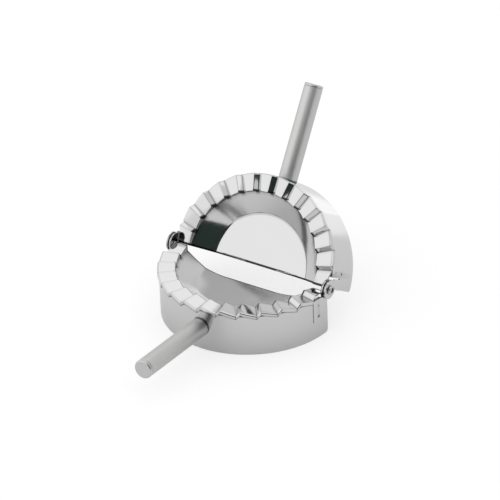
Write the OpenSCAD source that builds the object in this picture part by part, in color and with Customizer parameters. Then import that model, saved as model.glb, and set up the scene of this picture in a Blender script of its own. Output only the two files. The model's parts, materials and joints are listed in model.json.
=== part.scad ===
// Ravioli mold with two hinged half-round jaws, in millimetres, +Z up.
// The front jaw points to -Y and stands on its skirt at Z = 0, and the origin is the middle of that
// foot. The hinge axis runs along X behind it. The rear jaw is the same pressing turned half a turn
// and folded up about the hinge.

/* [Crimped rim] */
// Outer radius of the crimped rim
rim_r = 50; // [48:0.5:56]
// Radius where the rim turns down into the dish
dish_r = 40; // [38:0.5:42]
// Number of ramps along one rim
teeth = 14; // [10:1:16]
// Height of one ramp
tooth_h = 2.4; // [1.6:0.1:3]
// Length of one riser, along the outer edge of the rim
riser_w = 2.3; // [1.2:0.1:3.5]
// Space for the dough between the closed rims
dough_gap = 0.9; // [0.6:0.1:1.6]
// Height of the turned-down lip outside the skirt
lip_h = 2.2; // [1.6:0.1:3]
// Bend radius at the outer edge of the rim
lip_bend = 0.9; // [0.5:0.1:1.2]
// Bend radius at the inner edge of the rim
inner_bend = 0.8; // [0.5:0.1:1.2]

/* [Dish] */
// Radius of the flat floor of the dish
floor_r = 15; // [10:0.5:28]
// Depth of the dish floor below the hinge axis
dish_depth = 12; // [9:0.5:15]
// Sheet thickness of the pressed die
die_t = 0.8; // [0.6:0.05:1.1]

/* [Skirt] */
// Height of the hinge axis above the foot of the skirt
hinge_h = 25.9; // [24:0.1:36]
// Sheet thickness of the skirt
skirt_t = 1; // [0.8:0.05:1.2]
// Length of a front hinge tab along the skirt, from the end to the slit
front_tab_w = 11.7; // [11.6:0.1:12]
// Depth of the slit beside it below the hinge axis
front_slit_depth = 15.3; // [14:0.1:18]
// Length of a rear hinge tab along the skirt, from the end to the slit
rear_tab_w = 5.9; // [5.6:0.1:7]
// Depth of the slit beside it below the hinge axis
rear_slit_depth = 11.9; // [10:0.1:15]
// Width of the slits
slit_w = 0.6; // [0.4:0.1:1]
// Height of the step that carries the rear tab outwards
joggle_h = 2; // [1.5:0.1:3]
// Radius of the lower corners of the skirt
corner_r = 1.5; // [1:0.1:4]
// Distance from the hinge plane to the cut edge of each jaw
edge_gap = 0.3; // [0.2:0.05:0.6]
// Clearance between sheets that are welded or bent over each other
weld_gap = 0.05; // [0.02:0.01:0.1]

/* [Spot welds] */
// Distance of the front spot welds from the end of the skirt
front_weld_in = 7.9; // [7.5:0.1:9]
// Distance of the rear spot welds from the end of the skirt
rear_weld_in = 9; // [9:0.1:12]
// Depth of the upper spot weld below the hinge axis
weld_upper = 6.5; // [5:0.5:8]
// Depth of the lower spot weld below the hinge axis
weld_lower = 13; // [10:0.5:14]
// Radius of the dimple that a spot weld leaves
weld_r = 0.7; // [0.5:0.1:1]
// Depth of the dimple
weld_dimple = 0.2; // [0.1:0.05:0.3]
// Width of the plate behind the spot welds
plate_w = 4.6; // [4:0.1:4.8]
// Thickness of that plate
plate_t = 0.8; // [0.6:0.1:1.2]
// Depth of the plate's lower edge below the hinge axis
plate_depth = 15; // [14.5:0.1:18]

/* [Hinge] */
// Angle of the rear jaw above its flat open position
rear_deg = 57.1; // [0:0.1:180]
// Radius of the ear round the rivet
ear_r = 5.2; // [4.5:0.1:5.4]
// Side clearance between the front and the rear ear
ear_gap = 0.8; // [0.3:0.05:1]
// Radius of the rivet shank
rivet_r = 1.5; // [1.2:0.05:1.8]
// Radial clearance of the rivet in the rear ear
rivet_play = 0.05; // [0.02:0.01:0.09]
// Radial clearance of the rivet in the front ear, which holds it
rivet_fit = 0.02; // [0.01:0.01:0.05]
// Radius of the rivet head
head_r = 2.7; // [2.3:0.1:3.2]
// Height of the rivet head
head_h = 1.3; // [1:0.1:1.8]
// Radius of the dimple in the rivet head
head_dimple_r = 1.1; // [0.8:0.1:1.4]
// Depth of the dimple in the rivet head
head_dimple_h = 0.6; // [0.3:0.1:0.8]
// Clearance under the rivet head
head_gap = 0.1; // [0.05:0.01:0.15]
// Depth of the countersink that the rivet is spread into
sink_h = 0.5; // [0.3:0.05:0.6]

/* [Handles] */
// Diameter of the handle tube
tube_d = 10.5; // [9:0.5:12]
// Wall thickness of the handle tube
tube_t = 1; // [0.6:0.1:1.2]
// Distance from the hinge axis to the front handle's end
front_tip = 103; // [85:0.5:130]
// Depth of the front handle's root below the hinge axis
front_drop = 12.4; // [11:0.1:15]
// Angle by which the front handle rises towards its end
front_tilt = 3; // [0:0.1:5]
// Distance from the hinge axis to the rear handle's end
rear_tip = 103; // [85:0.5:130]
// Depth of the rear handle's root below the hinge axis
rear_drop = 15.3; // [11:0.1:17]
// Angle by which the rear handle rises towards its end
rear_tilt = 0; // [0:0.1:5]
// Thickness of the end cap
cap_t = 1.6; // [1.2:0.1:3]
// Edge radius of the end cap
cap_edge = 0.8; // [0.4:0.1:1]
// Length of the cap's spigot inside the tube
spigot_l = 10; // [3:0.5:15]
// Length of the threaded insert in the tube's root
insert_l = 12; // [8:0.5:20]
// Radial clearance of the cap and the insert in the tube
plug_gap = 0.03; // [0.01:0.01:0.06]

/* [Handle screws] */
// Diameter of the screw shank
screw_d = 5; // [4:0.5:5]
// Length of the screw below its head
screw_l = 11; // [8:0.5:14]
// Diameter of the screw head
screw_head_d = 8.6; // [7:0.1:9]
// Height of the screw head
screw_head_h = 2.4; // [2:0.1:3]
// Across-corners width of the socket in the screw head
socket_d = 3.4; // [2:0.1:4]
// Depth of the socket
socket_h = 1.4; // [1:0.1:1.8]
// Radial clearance of the screw in the insert
thread_gap = 0.03; // [0.02:0.01:0.06]
// Radial clearance of the screw in the skirt and the washer
screw_gap = 0.25; // [0.1:0.05:0.4]
// Diameter of the saddle washer
washer_d = 10; // [9.5:0.5:12]
// Thickness of the saddle washer at its rim
washer_t = 1.1; // [0.9:0.1:1.6]

/* [Hidden] */
$fn = 96;
fine_fn = 180;
small_fn = 48;

// Rim: mid height of the ramps, their pitch, and the angle of a riser
mid_z = -dough_gap / 2;
pitch_deg = 180 / teeth;
riser_deg = riser_w / rim_r * 180 / PI;
rim_low = mid_z - tooth_h / 2 - die_t;
// Dish wall: an arc that leaves the floor level and ends just under the lowest ramp
wall_top = rim_low - inner_bend / 2;
arc_run = dish_r - floor_r;
arc_rise = dish_depth + wall_top;
arc_r = (arc_run * arc_run + arc_rise * arc_rise) / (2 * arc_rise);
arc_deg = asin(arc_run / arc_r);
arc_steps = 9;
// Stations of one ramp, as shares of its length
ramp_shares = [0, 0.015, 0.5, 0.985, 1];
ramp_steps = len(ramp_shares) - 1;
// Rounding of the die's trimmed edge, where it has no lip
edge_round = die_t / 3;
trim_edge_h = die_t - edge_round / 2;

// Skirt: it stands inside the lip, and its tabs end under the rim, which is cut back at the ears
skirt_r = rim_r - die_t - 2 * weld_gap;
skirt_top = rim_low - weld_gap;
rear_step = skirt_t + ear_gap;
hinge_y = skirt_r - skirt_t / 2;
trim_clear = 0.35;
trim_r = skirt_r - skirt_t - trim_clear;
plate_deg = plate_w / skirt_r * 180 / PI;
// The tab is a hair thinner than the wall, and its root is let into the wall below it
root_inset = 0.02;
root_depth = 1;

// Hinge: the head lies outside the rear ear, the spread end in the front ear
front_ear_in = skirt_r - skirt_t;
rear_ear_out = skirt_r + rear_step;
sink_r = rivet_r + sink_h;

// Handles
tube_r = tube_d / 2;
bore_r = tube_r - tube_t;
washer_gap = weld_gap;

// Allowance that lets a cut reach past the faces it opens
over = 1;

// Places: a jaw is drawn with the hinge axis along X through its own origin

module front_place() {
    translate([0, hinge_y, hinge_h]) children();
}

module rear_place() {
    translate([0, hinge_y, hinge_h]) rotate([rear_deg, 0, 0]) rotate([0, 0, 180]) children();
}

// Axis of a handle: the child's +Z points out of the skirt, along the tube, whose root is on the skirt
module handle_place(drop, tilt) {
    translate([0, 0, -drop - skirt_r * tan(tilt)]) rotate([90 - tilt, 0, 0]) children();
}

// Angle that a length along the skirt's outer face spans
function along_skirt(length) = length / skirt_r * 180 / PI;

// Everything on the jaw's own side of its cut edge
module jaw_side() {
    reach = 2 * rim_r;
    translate([-reach / 2, -reach - edge_gap, -hinge_h - over])
        cube([reach, reach, hinge_h + tooth_h + 2 * over]);
}

// Part of a ring between two radii, two heights and two angles from the jaw's left end
module ring_part(r_in, r_out, low, high, from, to) {
    rotate([0, 0, 180 + from])
        rotate_extrude(angle = to - from)
            translate([r_in, low]) square([r_out - r_in, high - low]);
}

// Die: one pressed sheet, drawn as a row of sections round the jaw

// Each ramp falls from its start to its end, and the riser after it climbs again
function ramp_start(k) = k * pitch_deg + (k == 0 ? 0 : riser_deg / 2);
function ramp_end(k) = (k + 1) * pitch_deg - (k == teeth - 1 ? 0 : riser_deg / 2);

// Steps from the nearer end of the rim, counted from its first riser: the rim has its lip beyond that
// riser, ends over the skirt's face before it, and is cut back inside the ears at the very end
function from_end(k, j) = min(
    (k - 1) * (ramp_steps + 1) + j,
    (teeth - 2 - k) * (ramp_steps + 1) + ramp_steps - j
);

// Stations along the rim: angle, height of the top surface, steps from the end; the ones next to the
// two ends would lie on the cut edge too
rim_path = [
    for (k = [0 : teeth - 1], j = [0 : ramp_steps])
        if (from_end(k, j) != -ramp_steps)
            [
                ramp_start(k) + (ramp_end(k) - ramp_start(k)) * ramp_shares[j],
                mid_z + tooth_h * (0.5 - ramp_shares[j]),
                from_end(k, j)
            ]
];

function bend(r) = r * (1 - sin(45));

function reverse(list) = [for (i = [len(list) - 1 : -1 : 0]) list[i]];

// Points of the dish wall, from the floor up, on a sheet face that lies off the inner one
function wall_arc(off) = [
    for (i = [0 : arc_steps])
        let (a = arc_deg * i / arc_steps)
            [
                floor_r + (arc_r + off) * sin(a),
                arc_r - dish_depth - (arc_r + off) * cos(a)
            ]
];

// Section of the sheet below a top surface at height z, as radius and height
function sheet_section(z, edge_r, edge_bend, edge_h) = concat(
    wall_arc(0),
    [
        [dish_r, z - inner_bend],
        [dish_r + bend(inner_bend), z - bend(inner_bend)],
        [dish_r + inner_bend, z],
        [edge_r - edge_bend, z],
        [edge_r - bend(edge_bend), z - bend(edge_bend)],
        [edge_r, z - edge_bend],
        [edge_r, z - edge_h],
        [edge_r - die_t, z - edge_h],
        [edge_r - die_t, z - die_t],
        [dish_r + die_t, z - die_t]
    ],
    reverse(wall_arc(die_t))
);

function station_section(s) =
    s[2] > 0 ? sheet_section(s[1], rim_r, lip_bend, lip_h)
    : sheet_section(s[1], s[2] < -2 ? trim_r : skirt_r, edge_round, trim_edge_h);

// A section stands on its radius, and the first and last lie on the cut edge
function stand(p, angle) =
    let (depth = max(edge_gap, sin(angle) * p[0]))
        [-sign(cos(angle)) * sqrt(p[0] * p[0] - depth * depth), -depth, p[1]];

module die() {
    stations = len(rim_path);
    sides = len(station_section(rim_path[0]));
    last = (stations - 1) * sides;
    points = [for (s = rim_path, p = station_section(s)) stand(p, s[0])];
    skin = [
        for (i = [0 : stations - 2], j = [0 : sides - 2])
            let (a = i * sides + j)
                each [[a, a + sides, a + 1], [a + 1, a + sides, a + sides + 1]]
    ];
    first_end = [for (j = [0 : sides - 1]) j];
    last_end = [for (j = [sides - 1 : -1 : 0]) last + j];
    floor_edge = [0, sides - 1, last + sides - 1, last];
    floor_top = [for (i = [stations - 1 : -1 : 0]) i * sides];
    floor_bottom = [for (i = [0 : stations - 1]) i * sides + sides - 1];
    color("gainsboro")
        polyhedron(
            points,
            concat(skin, [first_end, last_end, floor_edge, floor_top, floor_bottom]),
            convexity = 8
        );
}

// Skirt

// Tab beside the slit, carried outwards by a step and ending in the ear
module hinge_tab(step, tab_w, slit_depth) {
    r_in = skirt_r - skirt_t + root_inset;
    r_out = skirt_r - root_inset;
    foot = -slit_depth;
    stepped = foot + joggle_h;
    rotate([0, 0, 180]) rotate_extrude(angle = along_skirt(tab_w)) polygon([
        [r_in, foot - root_depth],
        [r_out, foot - root_depth],
        [r_out, foot],
        [r_out + step, stepped],
        [r_out + step, skirt_top],
        [r_in + step, skirt_top],
        [r_in + step, stepped],
        [r_in, foot]
    ]);
}

module ear(step) {
    translate([-skirt_r - step, 0, 0]) rotate([0, 90, 0]) cylinder(r = ear_r, h = skirt_t);
}

// Dimples of the two spot welds at one end
module weld_marks(weld_in) {
    for (depth = [weld_upper, weld_lower])
        rotate([0, 0, along_skirt(weld_in)])
            translate([-skirt_r - over, 0, -depth])
                rotate([0, 90, 0]) cylinder(r = weld_r, h = over + weld_dimple);
}

// Rounding of the lower corners at the ends of the skirt
module foot_corners() {
    reach = 2 * rim_r;
    translate([-reach / 2, -edge_gap - corner_r, corner_r - hinge_h]) rotate([0, 90, 0])
        difference() {
            cube([corner_r + over, corner_r + over, reach]);
            translate([0, 0, -over]) cylinder(r = corner_r, h = reach + 2 * over);
        }
}

module both_ends() {
    children();
    mirror([1, 0, 0]) children();
}

module skirt(step, tab_w, slit_depth, weld_in, drop, tilt) {
    r_in = skirt_r - skirt_t;
    cut_deg = along_skirt(tab_w + slit_w);
    color("silver") difference() {
        union() {
            intersection() {
                union() {
                    difference() {
                        ring_part(r_in, skirt_r, -hinge_h, skirt_top, 0, 180);
                        both_ends()
                            ring_part(r_in - over, skirt_r + over, -slit_depth, over, -over, cut_deg);
                    }
                    both_ends() hinge_tab(step, tab_w, slit_depth);
                }
                jaw_side();
            }
            both_ends() ear(step);
        }
        both_ends() weld_marks(weld_in);
        foot_corners();
        both_ends() ear_bore(step);
        handle_place(drop, tilt)
            cylinder(r = screw_d / 2 + screw_gap, h = skirt_r + over);
    }
}

// The rear ear turns on the rivet; the front ear holds its spread end
module ear_bore(step) {
    translate([-rear_ear_out - over, 0, 0]) rotate([0, 90, 0])
        if (step > 0) {
            cylinder(r = rivet_r + rivet_play, h = rear_ear_out - front_ear_in + 2 * over);
        } else {
            cylinder(r = rivet_r + rivet_fit, h = rear_ear_out - front_ear_in + 2 * over);
            translate([0, 0, rear_ear_out + over - front_ear_in - sink_h])
                cylinder(r1 = rivet_r + rivet_fit, r2 = sink_r + rivet_fit, h = sink_h + rivet_fit);
        }
}

// Plate behind the two spot welds at one end
module weld_plate(weld_in) {
    r_out = skirt_r - skirt_t - weld_gap;
    from = along_skirt(weld_in) - plate_deg / 2;
    color("darkgray")
        ring_part(r_out - plate_t, r_out, -plate_depth, skirt_top, from, from + plate_deg);
}

// Hinge rivet with a dimpled head, its shank along the hinge axis and its spread end inside
module rivet() {
    under_head = rear_ear_out + head_gap;
    grip = under_head - front_ear_in;
    translate([-under_head, 0, 0]) rotate([0, 90, 0]) rotate_extrude() difference() {
        union() {
            translate([0, -head_h]) square([head_r - head_h / 2, head_h]);
            translate([head_r - head_h / 2, -head_h / 2]) circle(head_h / 2, $fn = small_fn);
            square([rivet_r, grip]);
            polygon([[0, grip - sink_h], [rivet_r, grip - sink_h], [sink_r, grip], [0, grip]]);
        }
        translate([0, -head_h - over]) square([head_dimple_r, head_dimple_h + over]);
        translate([-head_r, -head_h - over]) square([head_r, 2 * head_h + grip + 2 * over]);
    }
}

// Handle

module tube(tip, drop, tilt) {
    color("lightgray") difference() {
        handle_place(drop, tilt) difference() {
            cylinder(r = tube_r, h = tip - cap_t);
            cylinder(r = bore_r, h = tip);
        }
        saddle(skirt_r + weld_gap);
    }
}

// Upright cylinder that gives the tube, the insert and the washer their curved ends
module saddle(r) {
    translate([0, 0, -hinge_h]) cylinder(r = r, h = hinge_h + tube_d, $fn = fine_fn);
}

module cap(tip, drop, tilt) {
    color("whitesmoke") handle_place(drop, tilt) translate([0, 0, tip - cap_t]) {
        rotate_extrude() {
            square([tube_r - cap_edge, cap_t]);
            square([tube_r, cap_t - cap_edge]);
            translate([tube_r - cap_edge, cap_t - cap_edge]) circle(cap_edge, $fn = small_fn);
        }
        translate([0, 0, -spigot_l]) cylinder(r = bore_r - plug_gap, h = spigot_l);
    }
}

module insert(drop, tilt) {
    color("gold") difference() {
        handle_place(drop, tilt) difference() {
            cylinder(r = bore_r - plug_gap, h = skirt_r + insert_l);
            cylinder(r = screw_d / 2 + thread_gap, h = skirt_r + insert_l + over);
        }
        saddle(skirt_r + weld_gap);
    }
}

// Inner face of the washer, on the handle's axis
washer_seat = skirt_r - skirt_t - washer_gap - washer_t;

module washer(drop, tilt) {
    color("darkgray") intersection() {
        handle_place(drop, tilt) translate([0, 0, washer_seat]) difference() {
            cylinder(d = washer_d, h = 2 * washer_t);
            translate([0, 0, -over])
                cylinder(r = screw_d / 2 + screw_gap, h = 2 * washer_t + 2 * over);
        }
        saddle(skirt_r - skirt_t - washer_gap);
    }
}

module screw(drop, tilt) {
    color("dimgray") handle_place(drop, tilt) translate([0, 0, washer_seat - weld_gap]) {
        cylinder(d = screw_d, h = screw_l);
        translate([0, 0, -screw_head_h]) difference() {
            cylinder(d = screw_head_d, h = screw_head_h);
            translate([0, 0, -over]) cylinder(d = socket_d, h = socket_h + over, $fn = 6);
        }
    }
}

// Nodes

module front_die() { front_place() die(); }
module front_skirt() {
    front_place()
        skirt(0, front_tab_w, front_slit_depth, front_weld_in, front_drop, front_tilt);
}
module front_weld_plate_left() { front_place() weld_plate(front_weld_in); }
module front_weld_plate_right() { front_place() mirror([1, 0, 0]) weld_plate(front_weld_in); }
module front_handle_tube() { front_place() tube(front_tip, front_drop, front_tilt); }
module front_handle_cap() { front_place() cap(front_tip, front_drop, front_tilt); }
module front_handle_insert() { front_place() insert(front_drop, front_tilt); }
module front_handle_washer() { front_place() washer(front_drop, front_tilt); }
module front_handle_screw() { front_place() screw(front_drop, front_tilt); }

module rear_die() { rear_place() die(); }
module rear_skirt() {
    rear_place() skirt(rear_step, rear_tab_w, rear_slit_depth, rear_weld_in, rear_drop, rear_tilt);
}
module rear_weld_plate_left() { rear_place() mirror([1, 0, 0]) weld_plate(rear_weld_in); }
module rear_weld_plate_right() { rear_place() weld_plate(rear_weld_in); }
module rear_handle_tube() { rear_place() tube(rear_tip, rear_drop, rear_tilt); }
module rear_handle_cap() { rear_place() cap(rear_tip, rear_drop, rear_tilt); }
module rear_handle_insert() { rear_place() insert(rear_drop, rear_tilt); }
module rear_handle_washer() { rear_place() washer(rear_drop, rear_tilt); }
module rear_handle_screw() { rear_place() screw(rear_drop, rear_tilt); }

module hinge_rivets() { color("silver") front_place() both_ends() rivet(); }

front_die();
front_skirt();
front_weld_plate_left();
front_weld_plate_right();
front_handle_tube();
front_handle_cap();
front_handle_insert();
front_handle_washer();
front_handle_screw();
rear_die();
rear_skirt();
rear_weld_plate_left();
rear_weld_plate_right();
rear_handle_tube();
rear_handle_cap();
rear_handle_insert();
rear_handle_washer();
rear_handle_screw();
hinge_rivets();
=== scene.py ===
"""Ravioli mold in polished steel: two hinged half-round jaws, each a crimped die on a skirt with a handle."""

import json
import logging
import math
from collections.abc import Sequence
from dataclasses import dataclass
from enum import Enum
from functools import partial

import bmesh
import bpy
import numpy as np
from mathutils import Matrix, Vector
from mathutils.geometry import delaunay_2d_cdt

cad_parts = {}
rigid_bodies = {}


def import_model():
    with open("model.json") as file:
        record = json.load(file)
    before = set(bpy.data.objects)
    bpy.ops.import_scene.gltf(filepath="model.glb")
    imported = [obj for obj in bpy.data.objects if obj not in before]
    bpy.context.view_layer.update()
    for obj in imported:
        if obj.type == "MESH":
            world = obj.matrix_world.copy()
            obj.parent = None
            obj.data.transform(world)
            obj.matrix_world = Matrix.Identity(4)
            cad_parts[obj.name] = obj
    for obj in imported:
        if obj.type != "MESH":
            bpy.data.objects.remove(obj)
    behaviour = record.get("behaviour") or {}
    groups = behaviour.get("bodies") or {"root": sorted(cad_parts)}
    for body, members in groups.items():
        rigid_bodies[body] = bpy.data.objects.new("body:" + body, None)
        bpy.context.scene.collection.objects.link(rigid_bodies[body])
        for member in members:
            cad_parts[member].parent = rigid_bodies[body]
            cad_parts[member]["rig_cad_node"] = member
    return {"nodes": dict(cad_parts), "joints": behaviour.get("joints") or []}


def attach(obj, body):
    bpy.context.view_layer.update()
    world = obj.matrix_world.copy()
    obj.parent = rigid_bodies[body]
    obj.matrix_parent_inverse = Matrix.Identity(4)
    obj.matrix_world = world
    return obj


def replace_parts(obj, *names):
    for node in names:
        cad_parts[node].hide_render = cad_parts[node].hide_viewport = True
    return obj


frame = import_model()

LOG = logging.getLogger("ravioli_mold")
MM = 0.001

FLOAT = "NodeSocketFloat"
VECTOR = "NodeSocketVector"
COLOUR = "NodeSocketColor"
GEOMETRY = "NodeSocketGeometry"
MATERIAL = "NodeSocketMaterial"
COUNT = "NodeSocketInt"
SHADER_TREE = "ShaderNodeTree"
GEOMETRY_TREE = "GeometryNodeTree"

# Attribute that holds painted shade (the die's creases, cut ends, lip and wall top, the skirt's ear insides,
# the tube's root, the rivets' dimples) and the skirt's real weld burns.
SHADE_AND_BURN = "crease"
HAZE = "haze"

Piece = bpy.types.Object
Socket = bpy.types.NodeSocket
Tree = bpy.types.NodeTree
Faces = list[list[int]]
Value = float | int | Socket
Feeds = dict[str | int, object]
Point2 = tuple[float, float]
Point3 = tuple[float, float, float]


class Jaw(Enum):
    """The two jaws, by the name of the body that each one is."""

    FRONT = "front_jaw"
    REAR = "rear_jaw"

    @property
    def word(self) -> str:
        """First word of the jaw's node names."""
        return self.value.split("_")[0]

    def place(self) -> Matrix:
        """Finds where the jaw's own frame lies.

        Returns:
            Its place, with the hinge axis along X through its origin and the jaw towards -Y.
        """
        hinge = frame["joints"][0]
        at_hinge = Matrix.Translation(hinge["pos_m"])
        if self is Jaw.FRONT:
            return at_hinge
        fold = Matrix.Rotation(math.radians(-hinge["range_deg"][0]), 4, "X")
        return at_hinge @ fold @ Matrix.Rotation(math.pi, 4, "Z")


class Grain(Enum):
    """How the marks of the last polish lie."""

    NONE = "none"
    ALONG = "along"
    TURNED = "turned"


def smoothstep(x: np.ndarray | float) -> np.ndarray | float:
    """Smooth rise from 0 to 1 as x goes from 0 to 1."""
    t = np.clip(x, 0.0, 1.0)
    return t * t * (3 - 2 * t)


def arc(centre: Point2, radius: float, start_deg: float, end_deg: float, steps: int) -> list[Point2]:
    """Points along an arc.

    Args:
        centre: Centre of the arc.
        radius: Its radius.
        start_deg: Angle of its first point.
        end_deg: Angle of its last point.
        steps: Number of chords.

    Returns:
        The points, both ends included.
    """
    angles = np.radians(np.linspace(start_deg, end_deg, steps + 1))
    return [(centre[0] + radius * math.cos(a), centre[1] + radius * math.sin(a)) for a in angles]


def circle(centre: Point2, radius: float, sides: int) -> list[Point2]:
    """Corners of a regular polygon, the first one to the right of its centre."""
    return arc(centre, radius, 0, 360 - 360 / sides, sides - 1)


def ring_faces(a: int, b: int, around: int) -> Faces:
    """Faces between two rings of points, which start at the numbers a and b."""
    return [[a + i, a + (i + 1) % around, b + (i + 1) % around, b + i] for i in range(around)]


def link_object(name: str, data: bpy.types.ID) -> Piece:
    """Puts an object in the scene.

    Args:
        name: Name of the new object.
        data: Its mesh, lamp or camera.

    Returns:
        The new object, at the origin.
    """
    made = bpy.data.objects.new(name, data)
    bpy.context.scene.collection.objects.link(made)
    return made


def mesh_object(name: str, points: np.ndarray, faces: Faces) -> Piece:
    """Makes an object from points and faces.

    Args:
        name: Name of the new object.
        points: Its corners, in metres.
        faces: Its faces, as lists of corner numbers.

    Returns:
        The new object, at the origin.
    """
    mesh = bpy.data.meshes.new(name)
    mesh.from_pydata([tuple(p) for p in points], [], faces)
    mesh.validate()
    return link_object(name, mesh)


def rectangle(name: str, width: float, height: float) -> Piece:
    """Makes a flat object about the origin, facing along Z."""
    w, h = width / 2, height / 2
    return mesh_object(name, np.array([(-w, -h, 0), (w, -h, 0), (w, h, 0), (-w, h, 0)]), [[0, 1, 2, 3]])


def matte(name: str) -> tuple[bpy.types.Material, bpy.types.Node]:
    """Makes a material without gloss.

    Args:
        name: Name of the material.

    Returns:
        The material and its shader node.
    """
    material = bpy.data.materials.new(name)
    material.use_nodes = True
    shader = material.node_tree.nodes["Principled BSDF"]
    shader.inputs["Roughness"].default_value = 1.0
    shader.inputs["Specular IOR Level"].default_value = 0.0
    return material, shader


def store(piece: Piece, name: str, values: Sequence[float] | np.ndarray) -> None:
    """Stores one number a point in a piece's mesh."""
    column = piece.data.attributes.new(name, "FLOAT", "POINT")
    column.data.foreach_set("value", np.ascontiguousarray(values, np.float32))


def settle(piece: Piece) -> Piece:
    """Turns an object and its modifiers into a plain mesh.

    Args:
        piece: The object.

    Returns:
        The same object, with its modifiers taken into its mesh.
    """
    graph = bpy.context.evaluated_depsgraph_get()
    plain = bpy.data.meshes.new_from_object(piece.evaluated_get(graph), depsgraph=graph)
    plain.name = piece.name
    piece.modifiers.clear()
    piece.data = plain
    return piece


def close_up(piece: Piece, place: Matrix, crease_deg: float) -> Piece:
    """Moves a mesh to its place, points its faces outwards and shades it.

    Args:
        piece: The object, whose mesh lies in its own frame.
        place: The place of that frame.
        crease_deg: Edges sharper than this stay sharp.

    Returns:
        The same object.
    """
    shape = bmesh.new()
    shape.from_mesh(piece.data)
    bmesh.ops.remove_doubles(shape, verts=shape.verts, dist=1e-7)
    bmesh.ops.recalc_face_normals(shape, faces=shape.faces)
    shape.to_mesh(piece.data)
    shape.free()
    piece.data.transform(place)
    piece.data.polygons.foreach_set("use_smooth", [True] * len(piece.data.polygons))
    piece.data.set_sharp_from_angle(angle=math.radians(crease_deg))
    piece.data.update()
    return piece


class Sketch:
    """Adds nodes to a node tree, one call a node, and joins them."""

    def __init__(self, tree: Tree) -> None:
        """Keeps the tree that the nodes go into."""
        self.tree = tree

    def node(self, kind: str, feeds: Feeds | None = None, **settings: object) -> bpy.types.Node:
        """Adds a node.

        Args:
            kind: The node's type.
            feeds: What goes into its inputs, by their names or numbers.
            **settings: Values of the node's own properties.

        Returns:
            The new node.
        """
        made = self.tree.nodes.new(kind)
        for name, value in settings.items():
            setattr(made, name, value)
        for key, value in (feeds or {}).items():
            self.feed(made.inputs[key], value)
        return made

    def feed(self, socket: Socket, value: object) -> None:
        """Links a socket to another, or gives it a plain value.

        Args:
            socket: The input.
            value: A socket or a plain value.
        """
        if isinstance(value, Socket):
            self.tree.links.new(value, socket)
        else:
            socket.default_value = value

    def result(self, kind: str, feeds: Feeds, **settings: object) -> Socket:
        """Adds a node and returns its first output."""
        return self.node(kind, feeds, **settings).outputs[0]

    def math(self, operation: str, *values: Value) -> Socket:
        """Adds a Math node and returns its result."""
        return self.result("ShaderNodeMath", dict(enumerate(values)), operation=operation)

    def noise(self, vector: Socket, scale: Value, detail: float) -> Socket:
        """Adds a Noise Texture and returns its value, about 0.5 on average."""
        feeds = {"Vector": vector, "Scale": scale, "Detail": detail}
        return self.node("ShaderNodeTexNoise", feeds, noise_dimensions="3D").outputs["Fac"]

    def stretched(self, vector: Socket, factors: Point3) -> Socket:
        """Multiplies a vector by three factors."""
        return self.result("ShaderNodeVectorMath", {0: vector, 1: factors}, operation="MULTIPLY")

    def scaled(self, vector: Socket, factor: Value) -> Socket:
        """Multiplies a vector or a colour by one factor."""
        return self.result("ShaderNodeVectorMath", {0: vector, "Scale": factor}, operation="SCALE")

    def use(self, group: Tree, **values: object) -> bpy.types.Node:
        """Places a shader node group, with its inputs by name."""
        return self.node("ShaderNodeGroup", values, node_tree=group)

    def stored(self, name: str) -> Socket:
        """Reads a number that a mesh stores at its points, in a material."""
        return self.node("ShaderNodeAttribute", attribute_name=name).outputs["Fac"]

    def column(self, name: str) -> Socket:
        """Reads a number that a mesh stores at its points, in a geometry tree."""
        return self.result("GeometryNodeInputNamedAttribute", {"Name": name}, data_type="FLOAT")

    def dressed(self, shape: Socket, finish: Socket) -> Socket:
        """Ends a geometry tree: makes its instances real and gives them their material."""
        real = self.result("GeometryNodeRealizeInstances", {"Geometry": shape})
        return self.result("GeometryNodeSetMaterial", {"Geometry": real, "Material": finish})


def new_group(
    name: str, kind: str, inputs: dict[str, str], outputs: dict[str, str]
) -> tuple[Sketch, dict[str, Socket], dict[str, Socket]]:
    """Starts a node group with named inputs and outputs.

    Args:
        name: The group's name.
        kind: ShaderNodeTree or GeometryNodeTree.
        inputs: Each input's name and socket type.
        outputs: Each output's name and socket type.

    Returns:
        A sketch of the tree, its input sockets by name and its output sockets by name.
    """
    tree = bpy.data.node_groups.new(name, kind)
    for label, socket_type in inputs.items():
        tree.interface.new_socket(label, in_out="INPUT", socket_type=socket_type)
    for label, socket_type in outputs.items():
        tree.interface.new_socket(label, in_out="OUTPUT", socket_type=socket_type)
    sketch = Sketch(tree)
    entry = sketch.node("NodeGroupInput")
    leave = sketch.node("NodeGroupOutput")
    return sketch, {n: entry.outputs[n] for n in inputs}, {n: leave.inputs[n] for n in outputs}


def run_tree(piece: Piece, tree: Tree, values: dict[str, object]) -> Piece:
    """Shapes an object by a geometry node tree.

    Args:
        piece: The object that goes in.
        tree: The tree.
        values: The tree's inputs by name.

    Returns:
        The same object as a plain mesh.
    """
    modifier = piece.modifiers.new(tree.name, "NODES")
    modifier.node_group = tree
    for item in tree.interface.items_tree:
        if item.in_out == "INPUT" and item.name in values:
            modifier[item.identifier] = values[item.name]
    return settle(piece)


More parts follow.
